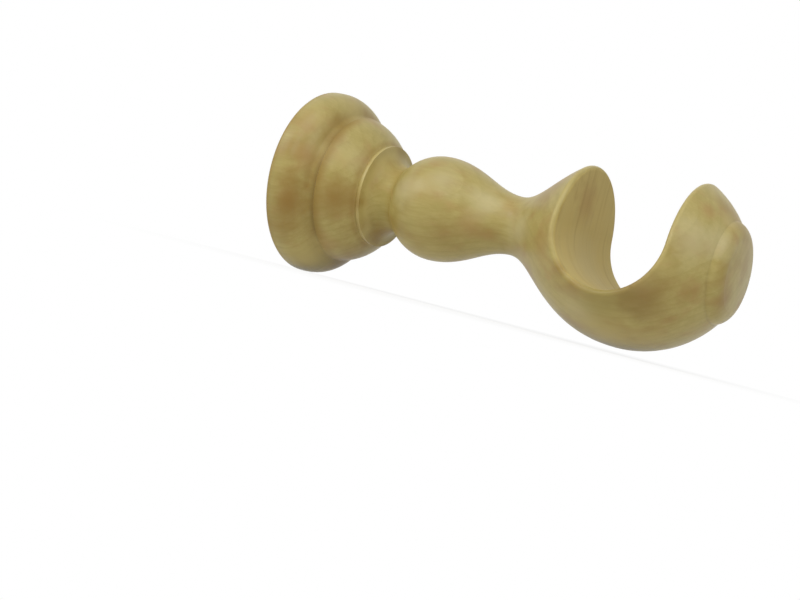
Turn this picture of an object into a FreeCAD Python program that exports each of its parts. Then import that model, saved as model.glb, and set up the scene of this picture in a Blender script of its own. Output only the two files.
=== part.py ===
import FreeCAD, Part
import math
import os

import Sketcher

# Wooden curtain pole bracket, turned in one piece from a blank and held to the wall by its base.
# Millimetres. The turning axis is X, from the wall at x = 0 outwards, and +Z is up, the way the
# open seat for the pole faces. The origin is the middle of the flat back face.

# Sizes: name, value, meaning
SIZES = [
    ("base_dia", 53.1, "base at its widest, near the wall"),
    ("back_edge_round", 1.0, "rounding of the rim against the wall"),
    ("rim_width", 2.6, "wall face to where the first tier curves in"),
    ("base_depth", 12.8, "wall face to the edge of the second tier"),
    ("step_cove", 2.3, "radius of the hollow in which the first tier ends"),
    ("crease_dia", 40.9, "bottom of the crease between the tiers"),
    ("crease_width", 0.5, "bottom of the crease to the edge of the second tier"),
    ("tier_dia", 42.1, "edge of the second tier"),
    ("tier_round", 17.7, "bulge of the second tier"),
    ("tier_depth", 9.6, "edge to foot of the second tier"),
    ("tier_foot_dia", 28.7, "foot of the second tier"),
    ("fillet_rise", 0.5, "foot of the second tier to the raised fillet"),
    ("fillet_dia", 29.1, "raised fillet between the tier and the cove"),
    ("fillet_width", 0.8, "raised fillet, along the arm"),
    ("cove_width", 7.0, "cove, from the fillet to the groove"),
    ("groove_dia", 19.3, "groove where the bulb starts"),
    ("bulb_rise", 11.1, "groove to the widest place of the bulb"),
    ("bulb_dia", 29.5, "bulb at its widest"),
    ("bulb_fall", 24.5, "widest place of the bulb to the neck"),
    ("bulb_ease", 10.2, "how far the bulb holds its width before it tapers"),
    ("neck_ease_in", 8.8, "how far the taper eases into the neck"),
    ("neck_dia", 16.2, "neck at its narrowest"),
    ("neck_ease_out", 8.9, "how far the neck holds before the flare"),
    ("ball_ease", 21.0, "how far the flare eases into the ball"),
    ("ball_dia", 50.3, "ball at its widest"),
    ("ball_lead", 1.6, "widest place of the ball, in front of the pole's middle"),
    ("nose_depth", 23.4, "widest place of the ball to the ring on its nose"),
    ("ring_dia", 26.8, "ring cut round the nose"),
    ("button_round", 4.8, "rounding of the button's shoulder, from the ring on"),
    ("button_height", 3.9, "ring to the tip of the button"),
    ("button_dome", 70.0, "radius of the button's face"),
    ("pole_dia", 28.0, "curtain pole that the seat takes"),
    ("pole_clearance", 2.0, "how much wider the seat is than its pole"),
    ("pole_reach", 101.2, "wall face to the middle of the pole"),
    ("pole_rise", 2.7, "middle of the pole above the turning axis"),
    ("seat_edge_round", 1.0, "sanding of the edges round the seat"),
    ("pilot_dia", 5.0, "pilot hole in the back for the hanger screw"),
    ("pilot_depth", 28.0, "pilot hole, down to where its point starts"),
    ("pilot_point", 118.0, "angle of the pilot hole's point, in degrees"),
]
size = {name: value for name, value, meaning in SIZES}

# Places on an edge of a sketch, as its constraints number them
START, END, CENTRE = 1, 2, 3
ORIGIN = (-1, START)
AXIS_LINE = -1


def make_sheet(doc):
    """The spreadsheet of driving sizes, one alias for each."""
    sheet = doc.addObject("Spreadsheet::Sheet", "sizes")
    for row, (name, value, meaning) in enumerate(SIZES, start=1):
        sheet.set("A%d" % row, name)
        sheet.set("B%d" % row, str(value))
        sheet.set("C%d" % row, meaning)
        sheet.setAlias("B%d" % row, name)
    return sheet


def new_sketch(body, name, plane, turn=None):
    """A sketch on one of the body's own planes, turned in that plane's frame where asked."""
    sketch = body.newObject("Sketcher::SketchObject", name)
    planes = [item for item in body.Origin.OriginFeatures if item.Role == plane]
    sketch.AttachmentSupport = [(planes[0], "")]
    sketch.MapMode = "FlatFace"
    if turn is not None:
        sketch.AttachmentOffset = FreeCAD.Placement(FreeCAD.Vector(), turn)
    return sketch


def bind(sketch, kind, name, value, expression, *places):
    """Adds a named measure between places of a sketch and ties it to the sheet."""
    index = sketch.addConstraint(Sketcher.Constraint(kind, *places, value))
    sketch.renameConstraint(index, name)
    sketch.setExpression("Constraints." + name, expression)


def bind_diameter(sketch, name, place):
    """Sets how far a place stands from the turning axis, as half of a diameter."""
    bind(sketch, "DistanceY", name, size[name] / 2, "sizes.%s / 2" % name, *ORIGIN, *place)


def bind_width(sketch, name, place, other):
    """Sets how far along the arm one place lies beyond another."""
    bind(sketch, "DistanceX", name, size[name], "sizes." + name, *place, *other)


class Outline:
    """A chain of edges in a sketch, each joined to the end of the one before."""

    def __init__(self, sketch, x, r):
        self.sketch = sketch
        self.point = FreeCAD.Vector(x, r, 0)
        self.place = None
        self.first = None

    def join(self, edge, start, end, point, smooth=False):
        """Joins a new edge on at its start, tangent where that is smooth, and moves on to its end."""
        if self.place is None:
            self.first = (edge, start)
        else:
            kind = "Tangent" if smooth else "Coincident"
            self.sketch.addConstraint(Sketcher.Constraint(kind, *self.place, edge, start))
        self.place = (edge, end)
        self.point = point
        return self.place

    def line(self, x, r, smooth=False):
        """A straight edge to x, r."""
        point = FreeCAD.Vector(x, r, 0)
        edge = self.sketch.addGeometry(Part.LineSegment(self.point, point), False)
        return self.join(edge, START, END, point, smooth)

    def arc(self, x, r, centre_x, centre_r, outwards=True, smooth=False):
        """A round edge to x, r about a centre, which bulges away from the axis or towards it."""
        point = FreeCAD.Vector(x, r, 0)
        centre = FreeCAD.Vector(centre_x, centre_r, 0)
        here = math.atan2(self.point.y - centre_r, self.point.x - centre_x)
        there = math.atan2(r - centre_r, x - centre_x)
        circle = Part.Circle(centre, FreeCAD.Vector(0, 0, 1), (point - centre).Length)
        if outwards:
            edge = self.sketch.addGeometry(Part.ArcOfCircle(circle, there, here), False)
            return self.join(edge, END, START, point, smooth)
        edge = self.sketch.addGeometry(Part.ArcOfCircle(circle, here, there), False)
        return self.join(edge, START, END, point, smooth)

    def ogee(self, x, r, leave, arrive):
        """A smooth curve to x, r, level at both ends, with its two easing lengths."""
        point = FreeCAD.Vector(x, r, 0)
        leave_by = size[leave]
        arrive_by = size[arrive]
        poles = [
            self.point,
            self.point + FreeCAD.Vector(leave_by, 0, 0),
            point - FreeCAD.Vector(arrive_by, 0, 0),
            point,
        ]
        curve = Part.BSplineCurve(poles, None, None, False, 3, None, False)
        edge = self.sketch.addGeometry(curve, False)
        marks = []
        weight = 1.0
        for number, pole in enumerate(poles):
            circle = Part.Circle(pole, FreeCAD.Vector(0, 0, 1), weight)
            mark = self.sketch.addGeometry(circle, True)
            if number == 0:
                self.sketch.addConstraint(Sketcher.Constraint("Weight", mark, weight))
            else:
                self.sketch.addConstraint(Sketcher.Constraint("Equal", marks[0], mark))
            kind = "InternalAlignment:Sketcher::BSplineControlPoint"
            self.sketch.addConstraint(Sketcher.Constraint(kind, mark, CENTRE, edge, number))
            marks.append(mark)
        for inner, outer in ((marks[1], marks[0]), (marks[2], marks[3])):
            self.sketch.addConstraint(Sketcher.Constraint("Horizontal", inner, CENTRE, outer, CENTRE))
        bind_width(self.sketch, leave, (marks[0], CENTRE), (marks[1], CENTRE))
        bind_width(self.sketch, arrive, (marks[2], CENTRE), (marks[3], CENTRE))
        return self.join(edge, START, END, point)

    def close(self):
        """A straight edge back to where the chain began."""
        start = self.place
        edge = self.sketch.addGeometry(Part.LineSegment(self.point, FreeCAD.Vector()), False)
        self.sketch.addConstraint(Sketcher.Constraint("Coincident", *start, edge, START))
        self.sketch.addConstraint(Sketcher.Constraint("Coincident", edge, END, *self.first))
        return edge


def level_arc_radius(across, up):
    """Radius of an arc that is level at one end and ends so far across and up from there."""
    return (across ** 2 + up ** 2) / (2 * up)


def level_s_curve(across, down, hollow):
    """Where a bulge that starts level turns into a hollow of a given radius that ends level."""
    turn = 2 * math.atan2(down, across)
    bulge = across / math.sin(turn) - hollow
    return bulge * math.sin(turn), bulge * (1 - math.cos(turn)), bulge


def draw_base(sketch, chain):
    """Back face, rim, first tier, crease, second tier, raised fillet and cove, up to the groove."""
    base = size["base_dia"] / 2
    corner = size["back_edge_round"]
    rim = size["rim_width"]
    edge_x = size["base_depth"]
    crease_x = edge_x - size["crease_width"]
    crease_r = size["crease_dia"] / 2
    hollow = size["step_cove"]
    tier_r = size["tier_dia"] / 2
    foot_x = edge_x + size["tier_depth"]
    foot_r = size["tier_foot_dia"] / 2
    fillet_x = foot_x + size["fillet_rise"]
    fillet_r = size["fillet_dia"] / 2
    cove_x = fillet_x + size["fillet_width"]
    groove_x = cove_x + size["cove_width"]
    groove_r = size["groove_dia"] / 2

    back = chain.line(0, base - corner)
    round_off = chain.arc(corner, base, corner, base - corner, smooth=True)
    rim_end = chain.line(rim, base, smooth=True)
    along, down, bulge = level_s_curve(crease_x - rim, base - crease_r, hollow)
    step = chain.arc(rim + along, base - down, rim, base - bulge)
    crease = chain.arc(crease_x, crease_r, crease_x, crease_r + hollow, outwards=False, smooth=True)
    edge = chain.line(edge_x, tier_r)
    half_chord = math.hypot(foot_x - edge_x, tier_r - foot_r) / 2
    sag = math.sqrt(size["tier_round"] ** 2 - half_chord ** 2) / (2 * half_chord)
    tier_centre_x = (edge_x + foot_x) / 2 - (tier_r - foot_r) * sag
    tier_centre_r = (tier_r + foot_r) / 2 - (foot_x - edge_x) * sag
    foot = chain.arc(foot_x, foot_r, tier_centre_x, tier_centre_r)
    fillet = chain.line(fillet_x, fillet_r)
    cove_start = chain.line(cove_x, fillet_r)
    cove_round = level_arc_radius(fillet_r - groove_r, groove_x - cove_x)
    groove = chain.arc(groove_x, groove_r, cove_x + cove_round, fillet_r, outwards=False)

    sketch.addConstraint(Sketcher.Constraint("Coincident", *chain.first, *ORIGIN))
    sketch.addConstraint(Sketcher.Constraint("Vertical", back[0]))
    sketch.addConstraint(Sketcher.Constraint("Horizontal", rim_end[0]))
    sketch.addConstraint(Sketcher.Constraint("Vertical", step[0], CENTRE, *rim_end))
    sketch.addConstraint(Sketcher.Constraint("Vertical", crease[0], CENTRE, *crease))
    sketch.addConstraint(Sketcher.Constraint("Horizontal", cove_start[0]))
    sketch.addConstraint(Sketcher.Constraint("Horizontal", groove[0], CENTRE, *cove_start))
    bind(sketch, "Radius", "back_edge_round", corner, "sizes.back_edge_round", round_off[0])
    bind(sketch, "Radius", "step_cove", hollow, "sizes.step_cove", crease[0])
    bind(sketch, "Radius", "tier_round", size["tier_round"], "sizes.tier_round", foot[0])
    bind_diameter(sketch, "base_dia", rim_end)
    bind_diameter(sketch, "crease_dia", crease)
    bind_diameter(sketch, "tier_dia", edge)
    bind_diameter(sketch, "tier_foot_dia", foot)
    bind_diameter(sketch, "fillet_dia", fillet)
    bind_diameter(sketch, "groove_dia", groove)
    bind_width(sketch, "rim_width", ORIGIN, rim_end)
    bind_width(sketch, "base_depth", ORIGIN, edge)
    bind_width(sketch, "crease_width", crease, edge)
    bind_width(sketch, "tier_depth", edge, foot)
    bind_width(sketch, "fillet_rise", foot, fillet)
    bind_width(sketch, "fillet_width", fillet, cove_start)
    bind_width(sketch, "cove_width", cove_start, groove)
    return groove


def draw_arm(sketch, chain, groove):
    """Bulb, neck, flare and ball, up to the ring on the nose."""
    groove_x = chain.point.x
    groove_r = chain.point.y
    bulb_x = groove_x + size["bulb_rise"]
    bulb_r = size["bulb_dia"] / 2
    neck_x = bulb_x + size["bulb_fall"]
    ball_x = size["pole_reach"] + size["ball_lead"]
    ball_r = size["ball_dia"] / 2
    ring_x = ball_x + size["nose_depth"]
    ring_r = size["ring_dia"] / 2

    shoulder = level_arc_radius(bulb_x - groove_x, bulb_r - groove_r)
    bulb = chain.arc(bulb_x, bulb_r, bulb_x, bulb_r - shoulder)
    neck = chain.ogee(neck_x, size["neck_dia"] / 2, "bulb_ease", "neck_ease_in")
    ball = chain.ogee(ball_x, ball_r, "neck_ease_out", "ball_ease")
    nose = level_arc_radius(ring_x - ball_x, ball_r - ring_r)
    ring = chain.arc(ring_x, ring_r, ball_x, ball_r - nose)

    sketch.addConstraint(Sketcher.Constraint("Vertical", bulb[0], CENTRE, *bulb))
    sketch.addConstraint(Sketcher.Constraint("Vertical", ring[0], CENTRE, *ball))
    bind_diameter(sketch, "bulb_dia", bulb)
    bind_diameter(sketch, "neck_dia", neck)
    bind_diameter(sketch, "ball_dia", ball)
    bind_diameter(sketch, "ring_dia", ring)
    bind_width(sketch, "bulb_rise", groove, bulb)
    bind_width(sketch, "bulb_fall", bulb, neck)
    bind(sketch, "DistanceX", "ball_reach", ball_x, "sizes.pole_reach + sizes.ball_lead", *ORIGIN, *ball)
    bind_width(sketch, "nose_depth", ball, ring)
    return ring


def draw_button(sketch, chain, ring):
    """Round shoulder and shallow dome of the button, and the axis back to the wall."""
    ring_x = chain.point.x
    tip_x = ring_x + size["button_height"]
    dome = size["button_dome"]
    rounding = size["button_round"]

    # The shoulder runs through the ring and touches the dome from inside
    dome_centre = FreeCAD.Vector(tip_x - dome, 0, 0)
    to_ring = chain.point - dome_centre
    inner = dome - rounding
    along = (inner ** 2 - rounding ** 2 + to_ring.Length ** 2) / (2 * to_ring.Length)
    aside = math.sqrt(inner ** 2 - along ** 2)
    to_ring.normalize()
    shoulder_centre = dome_centre + to_ring * along + FreeCAD.Vector(to_ring.y, -to_ring.x, 0) * aside
    meet = dome_centre + (shoulder_centre - dome_centre).normalize() * dome

    shoulder = chain.arc(meet.x, meet.y, shoulder_centre.x, shoulder_centre.y)
    tip = chain.arc(tip_x, 0, dome_centre.x, 0, smooth=True)
    axis = chain.close()

    sketch.addConstraint(Sketcher.Constraint("PointOnObject", tip[0], CENTRE, AXIS_LINE))
    sketch.addConstraint(Sketcher.Constraint("Horizontal", axis))
    bind(sketch, "Radius", "button_round", rounding, "sizes.button_round", shoulder[0])
    bind(sketch, "Radius", "button_dome", dome, "sizes.button_dome", tip[0])
    bind_width(sketch, "button_height", ring, tip)


def turn_blank(body):
    """The whole turned shape, with its outline drawn below the axis so that its seam is underneath."""
    below = FreeCAD.Rotation(FreeCAD.Vector(1, 0, 0), 180)
    sketch = new_sketch(body, "turned_outline", "XZ_Plane", below)
    chain = Outline(sketch, 0, 0)
    groove = draw_base(sketch, chain)
    ring = draw_arm(sketch, chain, groove)
    draw_button(sketch, chain, ring)
    turned = body.newObject("PartDesign::Revolution", "turned_blank")
    turned.Profile = sketch
    turned.ReferenceAxis = (sketch, ["H_Axis"])
    turned.Angle = 360
    sketch.Visibility = False
    return turned


def cut_seat(body):
    """The seat for the pole: a round bottom and straight sides, open at the top."""
    sketch = new_sketch(body, "seat_outline", "XZ_Plane")
    x = size["pole_reach"]
    z = size["pole_rise"]
    r = (size["pole_dia"] + size["pole_clearance"]) / 2
    top = size["ball_dia"]
    centre = FreeCAD.Vector(x, z, 0)
    circle = Part.Circle(centre, FreeCAD.Vector(0, 0, 1), r)
    corners = [
        FreeCAD.Vector(x + r, z, 0),
        FreeCAD.Vector(x + r, top, 0),
        FreeCAD.Vector(x - r, top, 0),
        FreeCAD.Vector(x - r, z, 0),
    ]
    bottom = sketch.addGeometry(Part.ArcOfCircle(circle, math.pi, 2 * math.pi), False)
    front = sketch.addGeometry(Part.LineSegment(corners[0], corners[1]), False)
    lid = sketch.addGeometry(Part.LineSegment(corners[1], corners[2]), False)
    rear = sketch.addGeometry(Part.LineSegment(corners[2], corners[3]), False)
    sketch.addConstraint(Sketcher.Constraint("Tangent", bottom, END, front, START))
    sketch.addConstraint(Sketcher.Constraint("Coincident", front, END, lid, START))
    sketch.addConstraint(Sketcher.Constraint("Coincident", lid, END, rear, START))
    sketch.addConstraint(Sketcher.Constraint("Tangent", rear, END, bottom, START))
    sketch.addConstraint(Sketcher.Constraint("Vertical", front))
    sketch.addConstraint(Sketcher.Constraint("Vertical", rear))
    sketch.addConstraint(Sketcher.Constraint("Horizontal", lid))
    bind(sketch, "Radius", "seat_round", r, "(sizes.pole_dia + sizes.pole_clearance) / 2", bottom)
    bind(sketch, "DistanceX", "pole_reach", x, "sizes.pole_reach", *ORIGIN, bottom, CENTRE)
    bind(sketch, "DistanceY", "pole_rise", z, "sizes.pole_rise", *ORIGIN, bottom, CENTRE)
    bind(sketch, "DistanceY", "open_above", top, "sizes.ball_dia", *ORIGIN, front, END)
    seat = body.newObject("PartDesign::Pocket", "pole_seat")
    seat.Profile = sketch
    seat.Type = "Length"
    seat.SideType = "Symmetric"
    seat.setExpression("Length", "2 * sizes.ball_dia")
    sketch.Visibility = False
    return seat


def is_seat_face(face):
    """Tells the seat's round bottom and its straight sides from the turned faces."""
    surface = face.Surface
    nearly_one = 0.9
    if isinstance(surface, Part.Cylinder):
        return abs(surface.Axis.y) > nearly_one
    on_wall = face.CenterOfMass.x < size["rim_width"]
    return isinstance(surface, Part.Plane) and abs(surface.Axis.x) > nearly_one and not on_wall


def seat_border(shape):
    """Names of the edges where the seat breaks through the turned faces."""
    seat_faces = [face for face in shape.Faces if is_seat_face(face)]
    names = []
    for number, edge in enumerate(shape.Edges, start=1):
        owners = sum(any(edge.isSame(other) for other in face.Edges) for face in seat_faces)
        if owners == 1:
            names.append("Edge%d" % number)
    return names


def round_seat(body, seat):
    """Sands the edges all the way round the seat."""
    edges = body.newObject("PartDesign::Fillet", "seat_edges")
    edges.Base = (seat, seat_border(seat.Shape))
    edges.setExpression("Radius", "sizes.seat_edge_round")
    return edges


def drill_pilot(body):
    """The blind pilot hole in the middle of the back face."""
    sketch = new_sketch(body, "pilot_centre", "YZ_Plane")
    circle = Part.Circle(FreeCAD.Vector(), FreeCAD.Vector(0, 0, 1), size["pilot_dia"] / 2)
    mark = sketch.addGeometry(circle, False)
    sketch.addConstraint(Sketcher.Constraint("Coincident", mark, CENTRE, *ORIGIN))
    bind(sketch, "Diameter", "pilot_dia", size["pilot_dia"], "sizes.pilot_dia", mark)
    body.Document.recompute()
    hole = body.newObject("PartDesign::Hole", "pilot_hole")
    hole.Profile = sketch
    body.Document.recompute()
    hole.DepthType = "Dimension"
    hole.DrillPoint = "Angled"
    hole.DrillForDepth = False
    hole.Reversed = True
    hole.setExpression("Diameter", "sizes.pilot_dia")
    hole.setExpression("Depth", "sizes.pilot_depth")
    hole.setExpression("DrillPointAngle", "sizes.pilot_point")
    sketch.Visibility = False
    return hole


def make_bracket(doc):
    """The bracket: turned, cut for the pole, sanded and drilled."""
    body = doc.addObject("PartDesign::Body", "bracket")
    body.Label = "bracket"
    turned = turn_blank(body)
    doc.recompute()
    blank_volume = turned.Shape.Volume
    seat = cut_seat(body)
    doc.recompute()
    cut_volume = seat.Shape.Volume
    edges = round_seat(body, seat)
    doc.recompute()
    sanded_volume = edges.Shape.Volume
    drill_pilot(body)
    doc.recompute()
    drilled_volume = body.Shape.Volume
    volumes = [blank_volume, cut_volume, sanded_volume, drilled_volume]
    print("volumes, mm3:", [round(volume) for volume in volumes])
    if not volumes == sorted(volumes, reverse=True) or len(set(volumes)) < len(volumes):
        raise RuntimeError("a cut took nothing away")
    return body


def check(doc, bodies):
    """Stops on an object that failed, or on a shape that isn't one sound solid."""
    for item in doc.Objects:
        if "Invalid" in item.State or "Error" in item.State:
            raise RuntimeError("%s failed: %s" % (item.Name, item.State))
        if item.TypeId == "Sketcher::SketchObject" and item.solve() != 0:
            raise RuntimeError("%s can't be solved" % item.Name)
    for body in bodies:
        shape = body.Shape
        if shape.isNull() or not shape.isValid() or len(shape.Solids) != 1:
            raise RuntimeError("%s isn't one sound solid" % body.Label)


def main():
    """Builds the bracket and writes it out."""
    doc = FreeCAD.newDocument("curtain_pole_bracket")
    make_sheet(doc)
    doc.recompute()
    bodies = [make_bracket(doc)]
    check(doc, bodies)
    os.makedirs("parts", exist_ok=True)
    for body in bodies:
        body.Shape.exportStep(os.path.join("parts", body.Label + ".step"))
        box = body.Shape.optimalBoundingBox(False)
        print(body.Label, "box:", [round(value, 2) for value in (box.XLength, box.YLength, box.ZLength)])


main()
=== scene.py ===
"""Looks of a turned wooden curtain pole bracket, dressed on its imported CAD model.

X runs along the arm from the wall outwards, Z points up, the way the seat opens, and Y runs along
the pole. The scene is in metres, and the sizes in the classes are in millimetres.
"""

import logging
import math
from dataclasses import dataclass
from enum import Enum
from typing import Mapping, Union

import bpy
from mathutils import Matrix, Vector


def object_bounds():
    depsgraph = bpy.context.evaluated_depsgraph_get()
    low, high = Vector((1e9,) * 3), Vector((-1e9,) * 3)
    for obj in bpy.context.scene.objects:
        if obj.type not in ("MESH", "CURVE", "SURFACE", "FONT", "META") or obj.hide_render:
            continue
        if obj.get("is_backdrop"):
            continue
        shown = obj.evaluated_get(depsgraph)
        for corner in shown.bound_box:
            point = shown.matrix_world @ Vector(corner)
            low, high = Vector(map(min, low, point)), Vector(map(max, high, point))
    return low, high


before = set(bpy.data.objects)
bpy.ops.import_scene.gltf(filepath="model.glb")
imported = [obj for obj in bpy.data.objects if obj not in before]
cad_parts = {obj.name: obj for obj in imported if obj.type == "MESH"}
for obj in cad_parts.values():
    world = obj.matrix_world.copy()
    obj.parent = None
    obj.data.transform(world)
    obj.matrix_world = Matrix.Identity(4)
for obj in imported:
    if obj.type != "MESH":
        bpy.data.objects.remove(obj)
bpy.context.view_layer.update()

LOG = logging.getLogger("bracket")
MM = 0.001
PHOTO_WIDTH = 800
PHOTO_HEIGHT = 600

Span = tuple[float, float]
Triple = tuple[float, float, float]
Colour = Triple


def srgb(red: int, green: int, blue: int) -> Colour:
    """Turns a colour as seen on a screen into the linear one that a shader takes.

    Args:
        red: Red, 0 to 255.
        green: Green, 0 to 255.
        blue: Blue, 0 to 255.

    Returns:
        The linear red, green and blue, 0 to 1.
    """
    shares = [part / 255 for part in (red, green, blue)]
    red_part, green_part, blue_part = [
        share / 12.92 if share <= 0.04045 else ((share + 0.055) / 1.055) ** 2.4 for share in shares
    ]
    return red_part, green_part, blue_part


def facing(azimuth: float, elevation: float) -> Vector:
    """Gives the direction from the bracket to something that stands round it.

    Args:
        azimuth: The turn from the bracket's side, -Y, towards its nose, +X, in degrees.
        elevation: The lift above the level, in degrees.

    Returns:
        The direction, 1 long.
    """
    turn = math.radians(azimuth)
    lift = math.radians(elevation)
    return Vector((math.sin(turn) * math.cos(lift), -math.cos(turn) * math.cos(lift), math.sin(lift)))


class Value:
    """A number that changes over a surface, on which Python's operators add Math nodes."""

    def __init__(self, graph: "Graph", socket: bpy.types.NodeSocket) -> None:
        """Wraps an output socket.

        Args:
            graph: The graph that the socket's node is in.
            socket: The output that holds the number.
        """
        self.graph = graph
        self.socket = socket

    def __add__(self, other: "Operand") -> "Value":
        """self + other."""
        return self.graph.maths("ADD", self, other)

    def __radd__(self, other: "Operand") -> "Value":
        """other + self."""
        return self.graph.maths("ADD", other, self)

    def __sub__(self, other: "Operand") -> "Value":
        """self - other."""
        return self.graph.maths("SUBTRACT", self, other)

    def __rsub__(self, other: "Operand") -> "Value":
        """other - self."""
        return self.graph.maths("SUBTRACT", other, self)

    def __mul__(self, other: "Operand") -> "Value":
        """self * other."""
        return self.graph.maths("MULTIPLY", self, other)

    def __rmul__(self, other: "Operand") -> "Value":
        """other * self."""
        return self.graph.maths("MULTIPLY", other, self)

    def __truediv__(self, other: "Operand") -> "Value":
        """self / other."""
        return self.graph.maths("DIVIDE", self, other)

    def __pow__(self, other: "Operand") -> "Value":
        """self ** other."""
        return self.graph.maths("POWER", self, other)

    def __abs__(self) -> "Value":
        """The size of self without its sign."""
        return self.graph.maths("ABSOLUTE", self)


Operand = Union[Value, float]
Input = Union[Value, bpy.types.NodeSocket, float, Triple]


class Graph:
    """The shader nodes of one material or of the world."""

    def __init__(self, owner: Union[bpy.types.Material, bpy.types.World]) -> None:
        """Starts an empty graph.

        Args:
            owner: What the graph shades.
        """
        owner.use_nodes = True
        self.tree = owner.node_tree
        self.tree.nodes.clear()

    def node(
        self,
        kind: str,
        settings: Mapping[str, object],
        inputs: Mapping[Union[str, int], Input],
    ) -> bpy.types.Node:
        """Adds a node.

        Args:
            kind: The node's type, without the words ShaderNode in front.
            settings: What the node is set to, such as a Math node's operation.
            inputs: A value or a link for each named or numbered socket.

        Returns:
            The new node.
        """
        made = self.tree.nodes.new("ShaderNode" + kind)
        for name, setting in settings.items():
            setattr(made, name, setting)
        for place, given in inputs.items():
            if isinstance(given, Value):
                self.tree.links.new(given.socket, made.inputs[place])
            elif isinstance(given, bpy.types.NodeSocket):
                self.tree.links.new(given, made.inputs[place])
            elif isinstance(given, tuple) and made.inputs[place].type == "RGBA":
                made.inputs[place].default_value = (*given, 1.0)
            else:
                made.inputs[place].default_value = given
        return made

    def maths(self, operation: str, *operands: Operand) -> Value:
        """Adds a Math node and gives its result."""
        made = self.node("Math", {"operation": operation}, dict(enumerate(operands)))
        return Value(self, made.outputs[0])

    def stretch(self, coordinates: bpy.types.NodeSocket, factors: Triple) -> bpy.types.NodeSocket:
        """Multiplies coordinates by a factor along each axis and gives the new ones."""
        settings = {"operation": "MULTIPLY"}
        return self.node("VectorMath", settings, {0: coordinates, 1: factors}).outputs[0]

    def noise(self, coordinates: bpy.types.NodeSocket, scale: float, detail: float) -> Value:
        """Adds soft noise.

        Args:
            coordinates: Where the noise is taken.
            scale: How fine it is, in features a unit of the coordinates.
            detail: How many finer layers it has.

        Returns:
            The noise, about 0 to 1 around 0.5.
        """
        inputs = {"Vector": coordinates, "Scale": scale, "Detail": detail}
        made = self.node("TexNoise", {"noise_dimensions": "3D"}, inputs)
        return Value(self, made.outputs[0])

    def rise(self, value: Value, low: float, high: float) -> Value:
        """Adds an eased rise from 0 to 1.

        Args:
            value: What rises.
            low: The value up to which the result is 0.
            high: The value from which it is 1.

        Returns:
            The rise.
        """
        inputs = {"Value": value, "From Min": low, "From Max": high}
        made = self.node("MapRange", {"interpolation_type": "SMOOTHSTEP"}, inputs)
        return Value(self, made.outputs[0])

    def blend(self, factor: Operand, first: Input, second: Input) -> bpy.types.NodeSocket:
        """Mixes two colours, from the first at 0 to the second at 1."""
        settings = {"data_type": "RGBA", "blend_type": "MIX"}
        return self.node("Mix", settings, {0: factor, 6: first, 7: second}).outputs[2]

    def distance(self, coordinates: bpy.types.NodeSocket, point: Triple) -> Value:
        """Gives how far coordinates lie from a point."""
        apart = self.node("VectorMath", {"operation": "DISTANCE"}, {0: coordinates, 1: point})
        return Value(self, apart.outputs["Value"])


class Tint(Enum):
    """What a patch or band is laid in: a tint of the wood, or a colour of painted shade or painted
    light.
    """

    # A whitish colour laid as painted highlights and painted light.
    PAINTED_LIGHT = "painted_light"
    PALE = "pale"
    OLIVE = "olive"
    ROSE = "rose"
    BROWN = "brown"
    DEEP = "deep"


@dataclass(frozen=True)
class Mark:
    """A soft patch or speck, in a tint of the wood or as painted shade or painted light: its tint,
    middle, reach in millimetres and strength.
    """

    tint: Tint
    place: Triple
    reach: float
    strength: float


@dataclass(frozen=True)
class Band:
    """A soft band round the turning: its tint, place along the arm and out, reach and strength."""

    tint: Tint
    along: float
    radius: float
    reach: float
    strength: float


@dataclass(frozen=True)
class Grain:
    """A noise: how it is stretched along X, Y and Z, its scale for each millimetre and its detail."""

    stretch: Triple
    scale: float
    detail: float

    def build(self, graph: Graph, place: bpy.types.NodeSocket) -> Value:
        """Adds the noise, about 0 to 1 around 0.5."""
        return graph.noise(graph.stretch(place, self.stretch), self.scale, self.detail)


@dataclass(frozen=True)
class Cloud:
    """Patches all through the wood: their tint, noise, shift, lowest noise that shows and strength."""

    tint: Tint
    grain: Grain
    shift: float
    low: float
    strength: float


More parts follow.
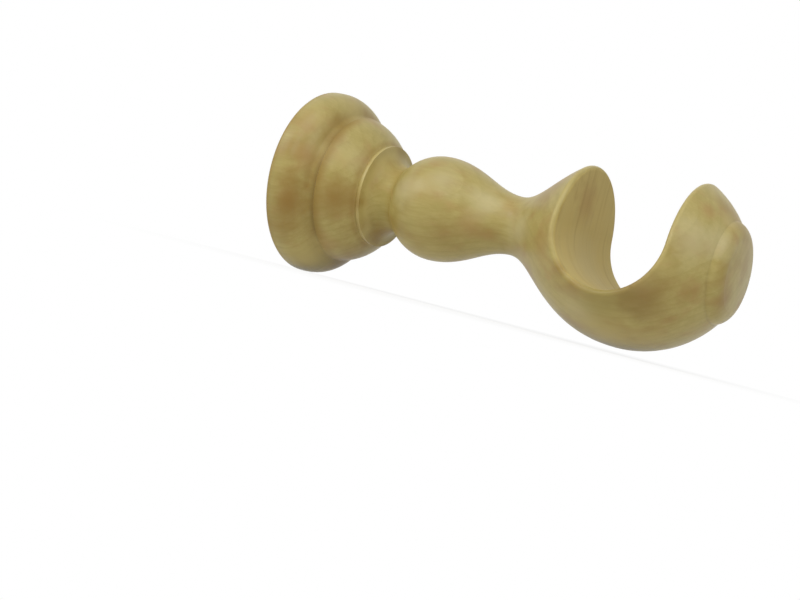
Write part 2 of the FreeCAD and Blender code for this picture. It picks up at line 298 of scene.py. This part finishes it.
@dataclass(frozen=True)
class LacqueredWood:
    """Fine wood with an olive cast and soft brown clouds, under a satin lacquer."""

    # Whitish colour of the painted highlights and painted light.
    painted_light: Colour = srgb(198, 187, 141)
    pale: Colour = srgb(188, 171, 106)
    olive: Colour = srgb(163, 147, 78)
    rose: Colour = srgb(168, 132, 76)
    brown: Colour = srgb(142, 107, 35)
    deep: Colour = srgb(96, 70, 24)
    # The cut wall's colour, paler than its bare wood: painted light.
    sawn_and_painted_light: Colour = srgb(204, 184, 114)

    fibre: Grain = Grain((0.06, 1, 1), 1.3, 4.0)
    hair: Grain = Grain((0.04, 1, 1), 4.5, 3.0)
    lathe: Grain = Grain((1, 0.02, 0.02), 2.2, 2.0)
    cutter: Grain = Grain((0.03, 1, 0.08), 0.4, 3.0)
    ragged: Grain = Grain((0.6, 1, 1), 0.3, 3.0)
    clouds: tuple[Cloud, ...] = (
        Cloud(Tint.BROWN, Grain((0.6, 1, 1), 0.11, 2.0), 0.0, 0.46, 0.48),
        Cloud(Tint.ROSE, Grain((0.6, 1, 1), 0.2, 2.0), 31.0, 0.48, 0.45),
        Cloud(Tint.OLIVE, Grain((0.6, 1, 1), 0.32, 2.0), 67.0, 0.46, 0.42),
    )
    cloud_edge: float = 0.28
    tone: float = 0.49
    fibre_tone: float = 0.5
    hair_tone: float = 0.3

    pith: tuple[float, float] = (62.0, -48.0)
    ring_width: float = 2.3
    ring_bend: Grain = Grain((0.2, 1, 1), 0.05, 2.0)
    ring_wander: float = 9.0
    ring_late: Span = (0.45, 0.92)
    ring_dark: float = 0.12

    sawn_reach: Span = (0.02, 0.4)
    sawn_and_painted_light_share: float = 0.88
    cutter_dark: Span = (0.5, 0.8)
    cutter_light: Span = (0.25, 0.5)
    cutter_brown: float = 0.35
    cutter_pale: float = 0.45
    # The pale band round the seat's edge: worn wood, with a painted highlight stronger towards the
    # top.
    sanded_and_sheen_inside: Span = (0.05, 0.3)
    sanded_and_sheen_outside: Span = (0.9, 1.9)
    sanded_and_sheen_heights: Span = (-10.0, 2.0)
    sanded_and_sheen_under: float = 0.1
    sanded_and_sheen_over: float = 0.9
    sanded_and_sheen_share: float = 0.7
    mark_ragged: Span = (0.4, 1.6)

    roughness: float = 0.48
    fibre_roughness: float = 0.14
    sanded_roughness: float = -0.06
    sawn_roughness: float = 0.25
    specular: float = 0.25
    coat: float = 0.3
    sawn_coat_loss: float = 0.5
    hollow_coat_loss: float = 0.8
    cove_reach: Span = (3.0, 8.0)
    crease_reach: Span = (0.5, 2.5)
    coat_roughness: float = 0.28
    fibre_relief: float = 0.5
    hair_relief: float = 0.5
    lathe_relief: float = 0.35
    relief_strength: float = 0.12
    relief_depth: float = 0.1

    def dress(self, bracket: "Bracket") -> bpy.types.Material:
        """Makes the wood for one bracket.

        Args:
            bracket: The bracket whose creases, seat edge and patches the wood shows, with painted
                shade, painted highlights and painted light laid on them.

        Returns:
            The material.
        """
        material = bpy.data.materials.new("lacquered_wood")
        graph = Graph(material)
        metres = graph.node("TexCoord", {}, {}).outputs["Object"]
        place = graph.stretch(metres, (1 / MM, 1 / MM, 1 / MM))
        axes = graph.node("SeparateXYZ", {}, {0: place}).outputs
        x, y, z = [Value(graph, axis) for axis in axes]
        away = self.from_seat(graph, bracket, x, z)
        fibre = self.fibre.build(graph, place)
        hair = self.hair.build(graph, place)
        sawn_and_painted_light = 1 - graph.rise(away, *self.sawn_reach)
        sanded_and_sheen = self.sanded_and_sheen(graph, bracket, away, z)

        late = self.latewood(graph, place, y, z)
        tone = self.tone + (fibre - 0.5) * self.fibre_tone + (hair - 0.5) * self.hair_tone
        colour = graph.blend(graph.rise(tone - late * self.ring_dark, 0.0, 1.0), self.olive, self.pale)
        colour = self.cloud_over(graph, colour, place)
        # the seat's cut wall, painted paler as painted light, with the cutter's streaks
        colour = self.lay_seat_wall_and_painted_light(graph, colour, place, sawn_and_painted_light)
        # the seat's edge: paler worn wood with a painted highlight over it
        colour = graph.blend(sanded_and_sheen * self.sanded_and_sheen_share, colour, self.pale)
        # bands: painted shade in the creases, groove and ring, painted highlights along the fillet
        colour = self.band(graph, colour, bracket, x, (y * y + z * z) ** 0.5)
        # patches: tints of the wood, with painted light and painted shade among them
        colour = self.mark(graph, colour, bracket, place)

        height = fibre * self.fibre_relief + hair * self.hair_relief
        height = height + self.lathe.build(graph, place) * self.lathe_relief
        depth = self.relief_depth * MM
        relief = graph.node(
            "Bump", {}, {"Strength": self.relief_strength, "Distance": depth, "Height": height}
        )
        roughness = self.roughness + (fibre - 0.5) * self.fibre_roughness
        roughness = roughness + sanded_and_sheen * self.sanded_roughness + sawn_and_painted_light * self.sawn_roughness
        shader = graph.node(
            "BsdfPrincipled",
            {},
            {
                "Base Color": colour,
                "Roughness": roughness,
                "Specular IOR Level": self.specular,
                "Normal": relief.outputs[0],
                "Coat Weight": self.lacquer(graph, bracket, x, sawn_and_painted_light),
                "Coat Roughness": self.coat_roughness,
            },
        )
        graph.node("OutputMaterial", {}, {0: shader.outputs[0]})
        return material

    def lacquer(self, graph: Graph, bracket: "Bracket", x: Value, sawn_and_painted_light: Value) -> Value:
        """Finds how much lacquer lies on the wood.

        Args:
            graph: The wood's graph.
            bracket: The bracket.
            x: The place's X, in millimetres.
            sawn_and_painted_light: 1 on the seat's wall and 0 elsewhere.

        Returns:
            The coat, which is thinner in the cove, in the crease and on the seat's wall.
        """
        cove = 1 - graph.rise(abs(x - bracket.groove_along), *self.cove_reach)
        crease = 1 - graph.rise(abs(x - bracket.crease_along), *self.crease_reach)
        hollow = graph.maths("MAXIMUM", cove, crease)
        return self.coat * (1 - sawn_and_painted_light * self.sawn_coat_loss) * (1 - hollow * self.hollow_coat_loss)

    def tinted(self, tint: Tint) -> Colour:
        """Gives the colour that a tint has in this wood.

        Args:
            tint: The tint.

        Returns:
            Its colour.
        """
        return {
            Tint.PAINTED_LIGHT: self.painted_light,
            Tint.PALE: self.pale,
            Tint.OLIVE: self.olive,
            Tint.ROSE: self.rose,
            Tint.BROWN: self.brown,
            Tint.DEEP: self.deep,
        }[tint]

    def latewood(self, graph: Graph, place: bpy.types.NodeSocket, y: Value, z: Value) -> Value:
        """Finds the darker lines of the growth rings, which curve round the pith of the plank.

        Args:
            graph: The wood's graph.
            place: The place on the bracket, in millimetres.
            y: Its Y.
            z: Its Z.

        Returns:
            1 in the lines and 0 between them.
        """
        wander = (self.ring_bend.build(graph, place) - 0.5) * self.ring_wander
        across = y - self.pith[0]
        up = z - self.pith[1]
        phase = graph.maths("FRACT", ((across * across + up * up) ** 0.5 + wander) / self.ring_width)
        return graph.rise(phase, *self.ring_late) * (1 - graph.rise(phase, self.ring_late[1], 1.0))

    def from_seat(self, graph: Graph, bracket: "Bracket", x: Value, z: Value) -> Value:
        """Measures how far a place lies outside the seat's wall.

        Args:
            graph: The wood's graph.
            bracket: The bracket.
            x: The place's X, in millimetres.
            z: Its Z.

        Returns:
            The distance in millimetres.
        """
        across = x - bracket.pole_reach
        down = graph.maths("MINIMUM", z - bracket.pole_rise, 0.0)
        return (across * across + down * down) ** 0.5 - bracket.seat_radius

    def sanded_and_sheen(self, graph: Graph, bracket: "Bracket", away: Value, z: Value) -> Value:
        """Finds the pale edge round the seat: wood worn paler by sanding, with a painted highlight
        that is stronger on its upper part.

        Args:
            graph: The wood's graph.
            bracket: The bracket.
            away: How far the place lies outside the seat's wall, in millimetres.
            z: Its Z.

        Returns:
            Most of 1 on the edge, less under the pole, and 0 elsewhere.
        """
        edges = away / bracket.seat_edge_round
        near = graph.rise(edges, *self.sanded_and_sheen_inside) * (1 - graph.rise(edges, *self.sanded_and_sheen_outside))
        gain = self.sanded_and_sheen_over - self.sanded_and_sheen_under
        return near * (self.sanded_and_sheen_under + graph.rise(z, *self.sanded_and_sheen_heights) * gain)

    def cloud_over(
        self, graph: Graph, colour: bpy.types.NodeSocket, place: bpy.types.NodeSocket
    ) -> bpy.types.NodeSocket:
        """Lays the clouds over the wood.

        Args:
            graph: The wood's graph.
            colour: The colour so far.
            place: The place on the bracket, in millimetres.

        Returns:
            The clouded colour.
        """
        for cloud in self.clouds:
            shift = (cloud.shift, 0.0, cloud.shift)
            spot = graph.node("VectorMath", {"operation": "ADD"}, {0: place, 1: shift}).outputs[0]
            patch = graph.rise(cloud.grain.build(graph, spot), cloud.low, cloud.low + self.cloud_edge)
            colour = graph.blend(patch * cloud.strength, colour, self.tinted(cloud.tint))
        return colour

    def lay_seat_wall_and_painted_light(
        self,
        graph: Graph,
        colour: bpy.types.NodeSocket,
        place: bpy.types.NodeSocket,
        sawn_and_painted_light: Value,
    ) -> bpy.types.NodeSocket:
        """Bares the cut wall of the seat, in a colour painted paler than its bare wood as painted
        light, and streaks it up and down, as the cutter left it.

        Args:
            graph: The wood's graph.
            colour: The colour so far.
            place: The place on the bracket, in millimetres.
            sawn_and_painted_light: 1 on the seat's wall and 0 elsewhere.

        Returns:
            The colour with the seat in it.
        """
        streak = self.cutter.build(graph, place)
        dark = graph.rise(streak, *self.cutter_dark)
        light = 1 - graph.rise(streak, *self.cutter_light)
        colour = graph.blend(sawn_and_painted_light * self.sawn_and_painted_light_share, colour, self.sawn_and_painted_light)
        colour = graph.blend(sawn_and_painted_light * dark * self.cutter_brown, colour, self.brown)
        return graph.blend(sawn_and_painted_light * light * self.cutter_pale, colour, self.pale)

    def band(
        self,
        graph: Graph,
        colour: bpy.types.NodeSocket,
        bracket: "Bracket",
        x: Value,
        radius: Value,
    ) -> bpy.types.NodeSocket:
        """Lays the bands round the turning over the wood.

        Args:
            graph: The wood's graph.
            colour: The colour so far.
            bracket: The bracket that has the bands.
            x: The place's X, in millimetres.
            radius: How far it lies from the middle of the turning.

        Returns:
            The banded colour.
        """
        for band in bracket.bands():
            along = x - band.along
            out = radius - band.radius
            near = 1 - graph.rise((along * along + out * out) ** 0.5, 0.0, band.reach)
            colour = graph.blend(near * band.strength, colour, self.tinted(band.tint))
        return colour

    def mark(
        self,
        graph: Graph,
        colour: bpy.types.NodeSocket,
        bracket: "Bracket",
        place: bpy.types.NodeSocket,
    ) -> bpy.types.NodeSocket:
        """Lays the single patches over the wood, with ragged edges: tints of the wood, painted shade
        and painted light.

        Args:
            graph: The wood's graph.
            colour: The colour so far.
            bracket: The bracket that has the marks.
            place: The place on the bracket, in millimetres.

        Returns:
            The marked colour.
        """
        least, most = self.mark_ragged
        uneven = least + self.ragged.build(graph, place) * (most - least)
        for mark in bracket.patches_and_painted_light:
            near = 1 - graph.rise(graph.distance(place, mark.place) * uneven, 0.0, mark.reach)
            colour = graph.blend(near * mark.strength, colour, self.tinted(mark.tint))
        return colour


@dataclass(frozen=True)
class Bracket:
    """The turned bracket: the sizes that its finish follows, in millimetres."""

    base_dia: float = 53.1
    base_depth: float = 12.8
    crease_width: float = 0.5
    crease_dia: float = 40.9
    tier_dia: float = 42.1
    tier_depth: float = 9.6
    tier_foot_dia: float = 28.7
    fillet_rise: float = 0.5
    fillet_dia: float = 29.1
    fillet_width: float = 0.8
    cove_width: float = 7.0
    groove_dia: float = 19.3
    pole_reach: float = 101.2
    pole_rise: float = 2.7
    seat_radius: float = 15.0
    seat_edge_round: float = 1.0
    ball_lead: float = 1.6
    nose_depth: float = 23.4
    ring_dia: float = 26.8
    # Patches in the wood's own tints, with painted highlights, painted light from below and painted
    # shade among them.
    patches_and_painted_light: tuple[Mark, ...] = (
        Mark(Tint.PALE, (5.0, -20.0, 17.0), 9.0, 0.4),
        Mark(Tint.BROWN, (5.3, -19.3, -17.5), 5.0, 0.4),
        Mark(Tint.BROWN, (5.6, -25.6, -3.4), 6.0, 0.4),
        Mark(Tint.BROWN, (7.3, -25.1, -0.8), 4.0, 0.4),
        Mark(Tint.BROWN, (7.4, -23.2, -8.8), 8.0, 0.85),
        # painted light from below: the base's bottom made paler
        Mark(Tint.PALE, (7.5, -7.0, -23.5), 12.0, 1.0),
        Mark(Tint.ROSE, (8.9, -23.2, 5.0), 6.0, 0.6),
        Mark(Tint.BROWN, (9.1, 7.0, -22.2), 5.0, 0.6),
        Mark(Tint.PALE, (9.5, -7.0, 21.0), 8.0, 0.6),
        Mark(Tint.BROWN, (9.8, -14.0, 17.0), 5.0, 0.5),
        Mark(Tint.PALE, (10.6, -20.0, 8.0), 4.5, 0.5),
        Mark(Tint.BROWN, (10.6, -17.5, 12.0), 5.0, 0.35),
        Mark(Tint.PALE, (11.1, -11.4, -17.4), 4.0, 0.5),
        Mark(Tint.BROWN, (14.2, -16.6, 11.4), 3.5, 0.4),
        Mark(Tint.ROSE, (15.0, -9.5, -16.5), 5.0, 0.5),
        Mark(Tint.BROWN, (16.5, 0.0, -19.6), 7.0, 0.6),
        Mark(Tint.PALE, (17.6, -17.6, 6.8), 5.0, 0.5),
        Mark(Tint.BROWN, (18.0, -17.4, -5.0), 9.0, 0.75),
        Mark(Tint.BROWN, (23.3, -14.0, -4.0), 4.5, 0.5),
        Mark(Tint.BROWN, (23.3, -10.0, -10.6), 5.0, 0.25),
        Mark(Tint.BROWN, (23.5, 1.0, 13.0), 5.0, 0.5),
        Mark(Tint.OLIVE, (24.4, 1.5, 12.2), 4.0, 0.6),
        Mark(Tint.PALE, (25.5, -9.0, 8.0), 5.0, 0.5),
        # painted shade on the underside below the second tier
        Mark(Tint.BROWN, (25.5, -2.0, -11.0), 7.0, 0.7),
        # painted highlights: the whitish patches on the bulb, neck and flare
        Mark(Tint.PAINTED_LIGHT, (36.5, -13.0, 2.5), 7.0, 0.55),
        Mark(Tint.PALE, (43.0, -14.0, 5.0), 8.0, 0.5),
        Mark(Tint.PAINTED_LIGHT, (46.5, -12.0, 7.0), 7.0, 0.3),
        Mark(Tint.BROWN, (50.5, -11.0, -7.0), 9.0, 0.3),
        Mark(Tint.ROSE, (57.0, -9.4, -3.0), 6.0, 0.5),
        Mark(Tint.PAINTED_LIGHT, (59.5, -9.0, 4.0), 8.0, 0.4),
        Mark(Tint.PAINTED_LIGHT, (72.5, -10.0, -1.5), 7.0, 0.5),
        Mark(Tint.BROWN, (76.0, -11.0, 8.0), 5.0, 0.4),
        # painted shade on the flare's underside
        Mark(Tint.BROWN, (76.5, -8.0, -12.5), 7.0, 0.6),
        Mark(Tint.BROWN, (79.4, -9.6, 12.0), 9.0, 0.65),
        Mark(Tint.ROSE, (83.2, -18.3, -4.7), 6.0, 0.5),
        Mark(Tint.ROSE, (86.2, -4.0, 10.0), 8.0, 0.5),
        # painted light: the lower part of the seat's wall made paler and whiter
        Mark(Tint.PAINTED_LIGHT, (88.5, -1.0, -5.0), 15.0, 0.35),
        Mark(Tint.BROWN, (90.6, -20.9, -9.8), 4.0, 0.5),
        Mark(Tint.BROWN, (95.5, -20.9, -13.2), 4.0, 0.5),
        # painted light on the ball's side below the seat's lip
        Mark(Tint.PAINTED_LIGHT, (97.0, -16.5, -17.5), 9.0, 0.4),
        # painted shade under the seat's near edge
        Mark(Tint.DEEP, (103.5, -21.0, -13.8), 9.0, 0.42),
        # painted light from below: the ball's bottom made paler
        Mark(Tint.PALE, (104.0, -10.0, -23.0), 12.0, 0.9),
        Mark(Tint.OLIVE, (104.0, -21.0, -14.5), 11.0, 0.7),
        Mark(Tint.DEEP, (110.9, -21.6, -9.7), 1.0, 0.35),
        # painted light from below on the ball's bottom
        Mark(Tint.PALE, (113.3, -8.7, -21.5), 6.0, 0.5),
        Mark(Tint.PALE, (113.5, -21.5, -8.0), 4.5, 0.6),
        # painted shade under the seat's near edge, here and on the next line
        Mark(Tint.BROWN, (114.5, -18.5, -11.0), 11.0, 0.5),
        Mark(Tint.DEEP, (112.5, -19.5, -11.5), 10.0, 0.27),
        Mark(Tint.PALE, (116.7, -21.4, -2.4), 4.0, 0.4),
        Mark(Tint.ROSE, (121.8, -12.1, 13.3), 4.0, 0.6),
        # painted highlights: the whitish patches on the nose
        Mark(Tint.PAINTED_LIGHT, (122.0, -16.5, 4.0), 8.0, 0.45),
        Mark(Tint.PALE, (125.8, -7.2, 11.9), 4.0, 0.6),
        Mark(Tint.PAINTED_LIGHT, (127.0, -12.0, 7.0), 7.0, 0.45),
        Mark(Tint.BROWN, (129.0, -6.0, -7.0), 6.0, 0.6),
    )

    @property
    def crease_along(self) -> float:
        """Where the crease between the two tiers starts along the arm."""
        return self.base_depth - self.crease_width

    @property
    def fillet_along(self) -> float:
        """Where the middle of the raised fillet lies along the arm."""
        return self.base_depth + self.tier_depth + self.fillet_rise + self.fillet_width / 2

    @property
    def groove_along(self) -> float:
        """Where the groove at the end of the cove lies along the arm."""
        return self.fillet_along + self.fillet_width / 2 + self.cove_width

    def bands(self) -> list[Band]:
        """Lists the bands round the turning.

        Returns:
            Painted shade in the crease, the corner at the foot of the second tier, the groove and the
            ring round the nose, a darker rim at the base's back edge, and painted highlights along the
            fillet.
        """
        foot = self.base_depth + self.tier_depth
        nose = self.pole_reach + self.ball_lead + self.nose_depth
        crease = self.crease_dia / 2
        return [
            # painted shade in the hollow before the crease and in the crease
            Band(Tint.BROWN, self.crease_along - 1.4, crease + 0.5, 4.0, 0.3),
            Band(Tint.DEEP, self.crease_along, crease, 1.9, 0.38),
            # painted shade on the second tier's edge beside the crease
            Band(Tint.BROWN, self.base_depth + 0.8, self.tier_dia / 2, 2.6, 0.45),
            # darker rim at the base's back edge
            Band(Tint.BROWN, 0.3, self.base_dia / 2 - 0.3, 1.8, 0.5),
            # painted shade in the corner at the foot of the second tier
            Band(Tint.BROWN, foot - 0.6, self.tier_foot_dia / 2 + 0.6, 1.6, 0.3),
            # painted highlights along the raised fillet and the top of the cove
            Band(Tint.PALE, self.fillet_along + 0.3, self.fillet_dia / 2, 1.9, 0.85),
            Band(Tint.PALE, self.fillet_along + 1.1, self.fillet_dia / 2 - 1.9, 2.4, 0.7),
            # painted shade in the groove where the cove meets the bulb, and in the ring round the nose
            Band(Tint.BROWN, self.groove_along, self.groove_dia / 2, 2.2, 0.2),
            Band(Tint.DEEP, nose, self.ring_dia / 2, 0.8, 0.1),
        ]

    def dress(self, wood: LacqueredWood) -> None:
        """Gives the CAD node its wood.

        Args:
            wood: The finish.
        """
        material = wood.dress(self)
        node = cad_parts["bracket"]
        for slot in node.material_slots:
            slot.material = material
        LOG.info("bracket dressed in %s", material.name)


@dataclass(frozen=True)
class Lamp:
    """A soft lamp: where it stands round the bracket, in degrees and metres, its width and power."""

    name: str
    azimuth: float
    elevation: float
    distance: float
    width: float
    power: float

    def build(self, target: Vector) -> None:
        """Places the lamp so that it faces the target.

        Args:
            target: The middle of the bracket.
        """
        light = bpy.data.lights.new(self.name, "AREA")
        light.shape = "DISK"
        light.size = self.width
        light.energy = self.power
        lamp = bpy.data.objects.new(self.name, light)
        back = facing(self.azimuth, self.elevation)
        lamp.location = target + back * self.distance
        lamp.rotation_euler = (-back).to_track_quat("-Z", "Y").to_euler()
        bpy.context.scene.collection.objects.link(lamp)
        LOG.info("lamp %s placed", self.name)


@dataclass(frozen=True)
class Studio:
    """A plain pale floor, white surroundings and soft lamps."""

    floor_width: float = 12.0
    floor_gap: float = 0.0002
    floor_colour: Colour = (0.95, 0.95, 0.95)
    floor_white: float = 0.86
    floor_fade: Span = (0.04, 0.12)
    sky_strength: float = 0.24
    lamps: tuple[Lamp, ...] = (
        Lamp("key", 1.5, 60.0, 0.9, 0.6, 2.05),
        Lamp("left", -40.0, 30.0, 0.9, 0.45, 1.8),
        Lamp("front", 4.0, 30.0, 0.9, 0.3, 0.9),
        Lamp("right", 62.0, 40.0, 0.9, 0.6, 1.9),
    )

    def build(self) -> None:
        """Makes the floor, the surroundings and the lamps."""
        low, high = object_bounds()
        self.build_floor((low + high) / 2, low.z - self.floor_gap)
        self.build_sky()
        for lamp in self.lamps:
            lamp.build((low + high) / 2)
        bpy.context.scene.view_settings.view_transform = "Standard"

    def seen_straight(self, graph: Graph) -> Value:
        """Tells what is seen from what only lights the scene.

        Args:
            graph: The graph of the floor or the surroundings.

        Returns:
            1 for a ray from the camera, or by way of gloss or glass, and 0 otherwise.
        """
        rays = graph.node("LightPath", {}, {}).outputs
        straight = Value(graph, rays["Is Camera Ray"]) + Value(graph, rays["Is Glossy Ray"])
        return graph.maths("MINIMUM", straight + Value(graph, rays["Is Transmission Ray"]), 1.0)

    def build_floor(self, middle: Vector, height: float) -> None:
        """Lays the floor, which keeps the bracket's shadow and turns plain white farther out.

        Args:
            middle: The middle of the bracket, in metres.
            height: Where the floor lies, in metres.
        """
        half = self.floor_width / 2
        mesh = bpy.data.meshes.new("floor")
        square = ((-half, -half), (half, -half), (half, half), (-half, half))
        corners = [(across, along, height) for across, along in square]
        mesh.from_pydata(corners, [], [(0, 1, 2, 3)])
        floor = bpy.data.objects.new("floor", mesh)
        bpy.context.scene.collection.objects.link(floor)
        material = bpy.data.materials.new("floor_paint")
        graph = Graph(material)
        paint = graph.node("BsdfDiffuse", {}, {"Color": self.floor_colour})
        glow = graph.node("Emission", {}, {"Color": (1.0, 1.0, 1.0), "Strength": 1.0})
        place = graph.node("NewGeometry", {}, {}).outputs["Position"]
        far = graph.rise(graph.distance(place, (middle.x, middle.y, height)), *self.floor_fade)
        share = self.seen_straight(graph) * (self.floor_white + far * (1 - self.floor_white))
        mixed = graph.node("MixShader", {}, {0: share, 1: paint.outputs[0], 2: glow.outputs[0]})
        graph.node("OutputMaterial", {}, {0: mixed.outputs[0]})
        mesh.materials.append(material)
        floor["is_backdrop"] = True
        LOG.info("floor laid")

    def build_sky(self) -> None:
        """Surrounds the scene with soft light that the camera sees as white."""
        world = bpy.data.worlds.new("studio")
        graph = Graph(world)
        soft = graph.node("Background", {}, {0: (1.0, 1.0, 1.0), 1: self.sky_strength})
        white = graph.node("Background", {}, {0: (1.0, 1.0, 1.0), 1: 1.0})
        share = self.seen_straight(graph)
        mixed = graph.node("MixShader", {}, {0: share, 1: soft.outputs[0], 2: white.outputs[0]})
        graph.node("OutputWorld", {}, {0: mixed.outputs[0]})
        bpy.context.scene.world = world
        LOG.info("surroundings lit")


@dataclass(frozen=True)
class PhotoCamera:
    """The camera at the photograph's viewing angle.

    Angles are in degrees, lengths in metres, and pixels are those of the 800 by 600 image.
    """

    azimuth: float = 30.17
    elevation: float = 0.59
    roll: float = 14.62
    distance: float = 0.394
    focal_pixels: float = 1443.4
    aim: Triple = (0.0641, 0.0, 0.0)
    aim_pixel: tuple[float, float] = (510.33, 224.66)
    sensor: float = 36.0

    def build(self) -> None:
        """Places the camera so that the aim shows at its pixel."""
        turn = math.radians(self.azimuth)
        back = facing(self.azimuth, self.elevation)
        level = Vector((math.cos(turn), math.sin(turn), 0))
        upright = back.cross(level)
        lean = math.radians(self.roll)
        right = level * math.cos(lean) + upright * math.sin(lean)
        up = upright * math.cos(lean) - level * math.sin(lean)

        scale = self.distance / self.focal_pixels
        aside = (self.aim_pixel[0] - PHOTO_WIDTH / 2) * scale
        above = (PHOTO_HEIGHT / 2 - self.aim_pixel[1]) * scale
        lens = bpy.data.cameras.new("photo_camera")
        lens.sensor_width = self.sensor
        lens.lens = self.focal_pixels * self.sensor / PHOTO_WIDTH
        lens.clip_start = 0.01
        lens.clip_end = 50.0
        camera = bpy.data.objects.new("photo_camera", lens)
        turned = Matrix((right, up, back)).transposed().to_4x4()
        spot = Vector(self.aim) - right * aside - up * above + back * self.distance
        camera.matrix_world = Matrix.Translation(spot) @ turned
        bpy.context.scene.collection.objects.link(camera)
        bpy.context.scene.camera = camera
        LOG.info("camera placed")


def main() -> None:
    """Builds the scene in order."""
    logging.basicConfig(level=logging.INFO, format="%(name)s: %(message)s")
    PhotoCamera().build()
    Studio().build()
    Bracket().dress(LacqueredWood())


if __name__ == "__main__":
    main()
